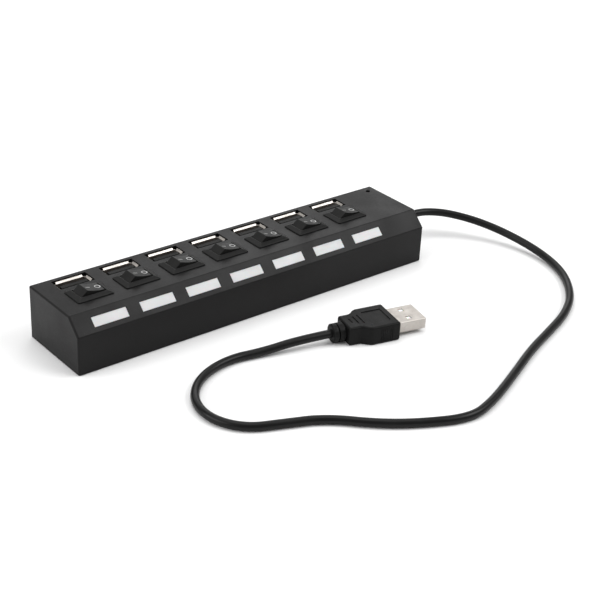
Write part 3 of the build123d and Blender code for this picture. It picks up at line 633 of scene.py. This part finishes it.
SCREW_ZINC = PlatedMetal("screw_zinc", (0.25, 0.25, 0.26), (0.18, 0.18, 0.18), 0.3, 0.5)
LAMP_RESIN = ClearResin("lamp_resin", (0.85, 0.88, 0.84))


@cache
def made(finish: MouldedSkin | PlatedMetal | ClearResin) -> bpy.types.Material:
    """The finish's material, built the first time that it is asked for."""
    return finish.material()


def dress(piece: bpy.types.Object, finish: MouldedSkin | PlatedMetal | ClearResin) -> None:
    """Puts one finish on a whole piece.

    Args:
        piece: the object to dress.
        finish: what it is made of.
    """
    if piece.material_slots:
        for material_slot in piece.material_slots:
            material_slot.material = made(finish)
    else:
        piece.data.materials.append(made(finish))


WELD_REACH = 0.000002  # points nearer than this, in metres, are one


def soften(
    piece: bpy.types.Object,
    width: float,
    segments: int = 2,
    least_turn: float = 32.0,
) -> None:
    """Rounds a piece's sharp edges a little, as a moulding tool or a press leaves them.

    Args:
        piece: the object, whose own mesh stays as it is.
        width: the rounding's width, in metres.
        segments: how many facets the rounding has.
        least_turn: the smallest angle between faces that is rounded, in degrees.
    """
    weld = piece.modifiers.new("join_faces", "WELD")
    weld.merge_threshold = WELD_REACH
    bevel = piece.modifiers.new("round_edges", "BEVEL")
    bevel.width = width
    bevel.segments = segments
    bevel.limit_method = "ANGLE"
    bevel.angle_limit = math.radians(least_turn)
    bevel.use_clamp_overlap = True
    bevel.miter_outer = "MITER_ARC"
    normals = piece.modifiers.new("even_shading", "WEIGHTED_NORMAL")
    normals.keep_sharp = False


# ------------------------------------------------------------------ the camera


@dataclass(frozen=True)
class Camera:
    """The camera's place and aim.

    Attributes:
        place: where it stands, in metres.
        heading: which way it looks, in degrees clockwise from +Y, seen from above.
        dip: how far it looks down, in degrees.
        roll: how far it leans, in degrees.
        lens: focal length, in millimetres.
        sensor: the sensor's width, in millimetres.
        nearest: where the view starts, in metres.
        farthest: where it ends, in metres.
    """

    place: tuple[float, float, float] = (-0.29296, -0.38917, 0.26171)
    heading: float = 39.875
    dip: float = 28.308
    roll: float = 2.790
    lens: float = 83.573
    sensor: float = 36.0
    nearest: float = 0.01
    farthest: float = 20.0

    def build(self) -> None:
        """Makes the camera and hands it to the scene."""
        data = bpy.data.cameras.new("camera")
        data.lens = self.lens
        data.sensor_width = self.sensor
        data.clip_start = self.nearest
        data.clip_end = self.farthest
        camera = bpy.data.objects.new("camera", data)
        turn = Matrix.Rotation(math.radians(-self.heading), 4, "Z")
        tip = Matrix.Rotation(math.radians(90.0 - self.dip), 4, "X")
        lean = Matrix.Rotation(math.radians(self.roll), 4, "Z")
        camera.matrix_world = Matrix.Translation(self.place) @ turn @ tip @ lean
        bpy.context.scene.collection.objects.link(camera)
        bpy.context.scene.camera = camera


# ------------------------------------------------------------------ the lead


@dataclass
class Lead:
    """The captive lead, from its gland to the boot of its plug.

    Attributes:
        diameter: the jacket's diameter, in metres.
        length: the lead's length, in metres; not used.
        round_steps: how finely it is divided round the jacket.
        long_steps: how finely it is divided between two control points.
        carried: the pieces on it; not used.
        route: its control points in millimetres: beyond the gland's tip, behind the gland's
            axis, and above the table.
    """

    diameter: float = 0.0033
    length: float = 0.385
    round_steps: int = 8
    long_steps: int = 16
    carried: tuple[str, ...] = (
        "plug_overmold",
        "plug_shell",
        "plug_insulator",
        "plug_contacts",
        "cable_gland",
    )
    route: tuple[tuple[float, float, float], ...] = (
        (0.0, 0.0, 11.0),
        (6.0, 0.0, 11.0),
        (12.2, -1.8, 10.6),
        (19.0, -6.7, 9.9),
        (27.4, -16.5, 7.8),
        (34.1, -29.4, 4.7),
        (36.1, -46.6, 2.4),
        (31.1, -63.8, 1.65),
        (18.4, -79.3, 1.65),
        (4.2, -88.4, 1.65),
        (-11.2, -94.2, 1.65),
        (-27.1, -99.9, 1.65),
        (-47.3, -109.4, 1.65),
        (-65.9, -117.4, 1.65),
        (-79.0, -120.3, 1.65),
        (-95.5, -112.9, 1.65),
        (-107.7, -104.8, 1.65),
        (-120.6, -91.9, 1.65),
        (-134.1, -86.3, 1.65),
        (-146.6, -81.2, 1.65),
        (-153.3, -69.5, 1.65),
        (-150.8, -56.0, 1.65),
        (-140.3, -45.7, 1.65),
        (-125.0, -41.4, 1.65),
        (-111.2, -44.7, 1.9),
        (-97.6, -47.9, 3.8),
        (-84.4, -50.9, 3.8),
    )

    def start(self) -> Vector:
        """Where the lead leaves its gland, on the gland's axis."""
        low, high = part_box("cable_gland")
        return Vector((high.x, (low.y + high.y) / 2, (low.z + high.z) / 2))

    def build(self) -> bpy.types.Object:
        """Lays the lead along its route.

        Returns:
            The lead's curve.
        """
        start = self.start()
        data = bpy.data.curves.new("lead", "CURVE")
        data.dimensions = "3D"
        data.bevel_depth = self.diameter / 2
        data.bevel_resolution = self.round_steps
        data.resolution_u = self.long_steps
        data.use_fill_caps = True
        spline = data.splines.new("NURBS")
        spline.points.add(len(self.route) - 1)
        for point, (ahead, behind, height) in zip(spline.points, self.route):
            point.co = (start.x + ahead * MM, start.y + behind * MM, height * MM, 1.0)
        spline.order_u = 3
        spline.use_endpoint_u = True
        lead = bpy.data.objects.new("lead", data)
        bpy.context.scene.collection.objects.link(lead)
        dress(lead, LEAD_JACKET)
        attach(lead, CASE)
        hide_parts("cable")
        return lead


# ------------------------------------------------------------------ the hub's own pieces


@dataclass
class Housing:
    """The outer shells, their screws and the feet.

    Attributes:
        edge: width of the soft edge on the upper housing, in metres.
        cover_edge: the same on the bottom cover.
    """

    edge: float = 0.00015
    cover_edge: float = 0.0002

    def build(self) -> list[str]:
        """Dresses the shells, the screws and the feet.

        Returns:
            The names of the pieces.
        """
        finishes = {
            "upper_housing": HOUSING_PLASTIC,
            "bottom_cover": COVER_PLASTIC,
            "case_screws": SCREW_ZINC,
            "rubber_feet": FOOT_RUBBER,
        }
        for name, finish in finishes.items():
            dress(frame["nodes"][name], finish)
        soften(frame["nodes"]["upper_housing"], self.edge)
        soften(frame["nodes"]["bottom_cover"], self.cover_edge)
        soften(frame["nodes"]["rubber_feet"], self.cover_edge)
        return list(finishes)


class MarkKind(Enum):
    """The two marks printed on a rocker: a ring for off and a bar for on."""

    OFF_RING = "off_ring"
    ON_BAR = "on_bar"


@dataclass
class RockerMarks:
    """The off and on marks, printed on a rocker's dished top.

    Attributes:
        lean: how far the rocker leans at rest, in degrees, its O end down.
        ring_along: the ring's middle along the rocker, from its pivot, in metres.
        ring_radius: the ring's outer radius.
        bar_along: the bar's middle along the rocker.
        bar_length: the bar's length, along the rocker.
        stroke: the width of both strokes.
        ink: how far the ink stands over the plastic.
        root: how far the print reaches into it.
        above: height over the pivot from which the print is laid down.
        bar_steps: how many steps the bar has along its length.
        ring_steps: how many steps the ring has round it.
    """

    lean: float = 12.0
    ring_along: float = 0.00237
    ring_radius: float = 0.00115
    bar_along: float = -0.0017
    bar_length: float = 0.0018
    stroke: float = 0.0003
    ink: float = 0.00003
    root: float = 0.00004
    above: float = 0.009
    bar_steps: int = 8
    ring_steps: int = 48

    def outline(self, kind: MarkKind) -> list[list[tuple[float, float]]]:
        """Rows of points across a mark's stroke, one row for each step along it.

        Args:
            kind: which mark.

        Returns:
            Pairs of points, as distances along and across the rocker.
        """
        if kind is MarkKind.ON_BAR:
            shares = [index / self.bar_steps - 0.5 for index in range(self.bar_steps + 1)]
            steps = [self.bar_along + self.bar_length * share for share in shares]
            return [[(along, -self.stroke / 2), (along, self.stroke / 2)] for along in steps]
        rows = []
        for index in range(self.ring_steps + 1):
            angle = math.tau * index / self.ring_steps
            row = []
            for radius in (self.ring_radius - self.stroke, self.ring_radius):
                row.append((self.ring_along + radius * math.cos(angle), radius * math.sin(angle)))
            rows.append(row)
        return rows

    def lay_down(self, shape: bmesh.types.BMesh, body: str, kind: MarkKind) -> list[list[Corner]]:
        """Drops a mark's outline onto a rocker's top.

        Args:
            shape: the mesh that takes the points.
            body: the rocker.
            kind: which mark.

        Returns:
            The inner top, inner low, outer top and outer low point of each row.
        """
        joint = next(joint for joint in frame["joints"] if joint["child"] == body)
        pivot = Vector(joint["pos_m"])
        tilt = math.radians(self.lean)
        along_way = Vector((math.cos(tilt), 0.0, -math.sin(tilt)))
        up_way = Vector((math.sin(tilt), 0.0, math.cos(tilt)))
        across_way = Vector((0.0, 1.0, 0.0))
        mesh = frame["nodes"][body].data
        surface = BVHTree.FromPolygons(
            [vertex.co for vertex in mesh.vertices], [face.vertices[:] for face in mesh.polygons]
        )
        layers = []
        for row in self.outline(kind):
            layer = []
            for along, across in row:
                above = pivot + along_way * along + across_way * across + up_way * self.above
                hit = surface.ray_cast(above, -up_way)[0]
                layer.append(shape.verts.new(hit + up_way * self.ink))
                layer.append(shape.verts.new(hit - up_way * self.root))
            layers.append(layer)
        return layers

    def close_skin(
        self,
        shape: bmesh.types.BMesh,
        layers: list[list[Corner]],
        kind: MarkKind,
    ) -> None:
        """Spans a closed skin over a mark's points.

        Args:
            shape: the mesh that holds the points.
            layers: the rows of points.
            kind: which mark.
        """
        for here, there in zip(layers, layers[1:]):
            inner_top, inner_low, outer_top, outer_low = here
            next_inner_top, next_inner_low, next_outer_top, next_outer_low = there
            shape.faces.new((inner_top, outer_top, next_outer_top, next_inner_top))
            shape.faces.new((inner_low, next_inner_low, next_outer_low, outer_low))
            shape.faces.new((outer_top, outer_low, next_outer_low, next_outer_top))
            shape.faces.new((inner_top, next_inner_top, next_inner_low, inner_low))
        if kind is MarkKind.ON_BAR:
            for inner_top, inner_low, outer_top, outer_low in (layers[0], layers[-1]):
                shape.faces.new((inner_top, inner_low, outer_low, outer_top))
        else:
            bmesh.ops.remove_doubles(shape, verts=shape.verts[:], dist=WELD_REACH / 2)
        bmesh.ops.recalc_face_normals(shape, faces=shape.faces[:])

    def build(self, number: int, kind: MarkKind) -> bpy.types.Object:
        """Prints one mark on one rocker.

        Args:
            number: the station, from 1 at the left end.
            kind: which mark.

        Returns:
            The print, a thin closed skin that follows the rocker's top.
        """
        body = f"rocker_{number}"
        shape = bmesh.new()
        self.close_skin(shape, self.lay_down(shape, body, kind), kind)
        name = f"{kind.value}_{number}"
        data = bpy.data.meshes.new(name)
        shape.to_mesh(data)
        shape.free()
        mark = bpy.data.objects.new(name, data)
        bpy.context.scene.collection.objects.link(mark)
        dress(mark, MARK_INK)
        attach(mark, body)
        return mark


@dataclass
class Station:
    """One station: a socket, its switch and its label window.

    Attributes:
        number: the station, from 1 at the left end.
        switch_edge: width of the soft edge on the switch's frame, in metres.
        rocker_edge: the same on its rocker.
        sheet_edge: the same on the label and the tongue.
        marks: the marks printed on the rocker.
    """

    number: int
    switch_edge: float = 0.00016
    rocker_edge: float = 0.00014
    sheet_edge: float = 0.00006
    marks: RockerMarks = field(default_factory=RockerMarks)

    def build(self) -> list[str]:
        """Dresses the station's pieces and prints its marks.

        Returns:
            The names of the pieces.
        """
        finishes = {
            "port_shell": (PORT_STEEL, self.sheet_edge),
            "port_tongue": (TONGUE_PLASTIC, self.sheet_edge),
            "switch_frame": (SWITCH_PLASTIC, self.switch_edge),
            "rocker": (ROCKER_PLASTIC, self.rocker_edge),
            "label_window": (LABEL_SHEET, self.sheet_edge),
        }
        names = []
        for stem, (finish, edge) in finishes.items():
            name = f"{stem}_{self.number}"
            dress(frame["nodes"][name], finish)
            soften(frame["nodes"][name], edge)
            names.append(name)
        names += [self.marks.build(self.number, kind).name for kind in MarkKind]
        return names


@dataclass
class Board:
    """The circuit board and everything soldered to it."""

    def build(self) -> list[str]:
        """Dresses the board's pieces.

        Returns:
            The names of the pieces.
        """
        finishes = {
            "circuit_board": BOARD_MASK,
            "status_leds": LAMP_RESIN,
            "power_lamp": LAMP_RESIN,
            "controller_chips": CHIP_RESIN,
            "crystal": CAN_STEEL,
            "capacitors": SLEEVE_FILM,
            "port_contacts": SPRING_BRONZE,
            "switch_terminals": CONTACT_GOLD,
            "power_jack": JACK_PLASTIC,
            "jack_pin": CONTACT_GOLD,
            "lead_wires": WIRE_SLEEVE,
        }
        for name, finish in finishes.items():
            dress(frame["nodes"][name], finish)
        return list(finishes)


@dataclass
class Plug:
    """The plug on the lead's far end, and the gland at its near end.

    Attributes:
        grip_edge: width of the soft edge on the moulded grip, in metres.
        shell_edge: the same on the plug's steel shell.
        gland_edge: the same on the gland.
    """

    grip_edge: float = 0.00018
    shell_edge: float = 0.00008
    gland_edge: float = 0.00015

    def build(self) -> list[str]:
        """Dresses the plug and the gland.

        Returns:
            The names of the pieces.
        """
        finishes = {
            "plug_overmold": (PLUG_MOULDING, self.grip_edge),
            "plug_shell": (PLUG_STEEL, self.shell_edge),
            "plug_insulator": (INSULATOR_PLASTIC, self.shell_edge),
            "plug_contacts": (CONTACT_GOLD, 0.0),
            "cable_gland": (GLAND_RUBBER, self.gland_edge),
        }
        for name, (finish, edge) in finishes.items():
            dress(frame["nodes"][name], finish)
            if edge:
                soften(frame["nodes"][name], edge)
        return list(finishes)


# ------------------------------------------------------------------ the studio


@dataclass(frozen=True)
class SoftBox:
    """One soft light.

    Attributes:
        name: the light's name.
        place: where it hangs, in metres.
        aim: what it points at, in metres.
        width: its width, in metres.
        depth: its depth, in metres.
        power: its power, in watts.
    """

    name: str
    place: tuple[float, float, float]
    aim: tuple[float, float, float]
    width: float
    depth: float
    power: float

    def build(self) -> None:
        """Hangs the light."""
        data = bpy.data.lights.new(self.name, "AREA")
        data.shape = "RECTANGLE"
        data.size = self.width
        data.size_y = self.depth
        data.energy = self.power
        light = bpy.data.objects.new(self.name, data)
        light.location = self.place
        way = Vector(self.aim) - Vector(self.place)
        light.rotation_mode = "QUATERNION"
        light.rotation_quaternion = way.to_track_quat("-Z", "Y")
        bpy.context.scene.collection.objects.link(light)


@dataclass
class Studio:
    """White paper under the hub, a white room and soft lights.

    Attributes:
        paper_side: the paper's side, in metres.
        paper_colour: the paper's colour.
        paper_roughness: its roughness.
        paper_specular: its specular level.
        room_light: the room's own brightness.
        boxes: the lights.
    """

    paper_side: float = 6.0
    paper_colour: Colour = (0.93, 0.93, 0.93)
    paper_roughness: float = 0.9
    paper_specular: float = 0.1
    room_light: float = 0.29
    boxes: tuple[SoftBox, ...] = (
        SoftBox("top_light", (0.0, 0.1, 1.0), (0.0, 0.0, 0.0), 0.8, 0.8, 4.6),
        SoftBox("back_light", (0.35, 0.95, 0.75), (0.0, 0.0, 0.02), 1.2, 0.6, 2.4),
        SoftBox("left_light", (-0.95, 0.25, 0.5), (0.0, 0.0, 0.02), 0.9, 0.6, 7.0),
        SoftBox("back_right_light", (0.75, 0.75, 0.5), (0.0, 0.0, 0.02), 0.7, 0.5, 1.3),
        SoftBox("front_right_light", (0.60, -0.52, 0.80), (0.0, 0.0, 0.02), 0.8, 0.45, 7.0),
    )

    def build(self) -> None:
        """Lays the paper, lights the room and hangs the lights."""
        self.paper()
        world = bpy.data.worlds.new("white_room")
        world.use_nodes = True
        background = world.node_tree.nodes["Background"]
        background.inputs["Color"].default_value = rgba((1.0, 1.0, 1.0))
        background.inputs["Strength"].default_value = self.room_light
        scene = bpy.context.scene
        scene.world = world
        scene.view_settings.view_transform = "Standard"
        scene.view_settings.look = "None"
        for box in self.boxes:
            box.build()

    def paper(self) -> None:
        """Lays a large sheet of white paper on the table."""
        half = self.paper_side / 2
        shape = bmesh.new()
        signs = ((-1, -1), (1, -1), (1, 1), (-1, 1))
        shape.faces.new([shape.verts.new((x * half, y * half, 0.0)) for x, y in signs])
        data = bpy.data.meshes.new("paper")
        shape.to_mesh(data)
        shape.free()
        paper = bpy.data.objects.new("paper", data)
        bpy.context.scene.collection.objects.link(paper)
        feeds = {
            "Base Color": rgba(self.paper_colour),
            "Roughness": self.paper_roughness,
            "Specular IOR Level": self.paper_specular,
        }
        material, _, _ = new_material("studio_paper", feeds)
        data.materials.append(material)


def report(part: str, names: Iterable[str]) -> None:
    """Logs what a sub-assembly holds.

    Args:
        part: the sub-assembly.
        names: its pieces.
    """
    log.info("%s: %s", part, ", ".join(names))


def main() -> None:
    """Builds the camera and the lead, then dresses every sub-assembly and the studio."""
    logging.basicConfig(level=logging.INFO, format="%(name)s %(message)s")
    Camera().build()
    report("lead", [Lead().build().name])
    report("housing", Housing().build())
    for number in STATIONS:
        report(f"station {number}", Station(number).build())
    report("board", Board().build())
    report("plug", Plug().build())
    Studio().build()


if __name__ == "__main__":
    main()
